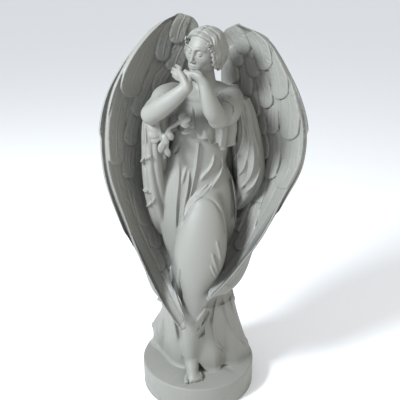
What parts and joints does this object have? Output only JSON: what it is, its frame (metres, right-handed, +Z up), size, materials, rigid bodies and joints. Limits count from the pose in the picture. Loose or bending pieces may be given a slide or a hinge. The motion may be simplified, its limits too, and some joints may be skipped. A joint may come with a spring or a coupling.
{
  "type": "cemetery angel statue",
  "caption": "Standing marble angel with folded wings, long robe and lilies, hands under the chin, carved in one with a low round drum base.",
  "frame": {"origin": "centre of the round drum's underside, where the statue meets the ground or plinth", "axes": "+Z up; the figure faces -Y; +X is the statue's left (the viewer's right when facing it)"},
  "size_m": [0.7988, 0.514, 1.6442],
  "materials": {
    "marble": "honed white-grey marble, fine veins, slightly weathered in the hollows"
  },
  "bodies": {
    "root": {"angel_statue": "marble"}
  },
  "joints": []
}
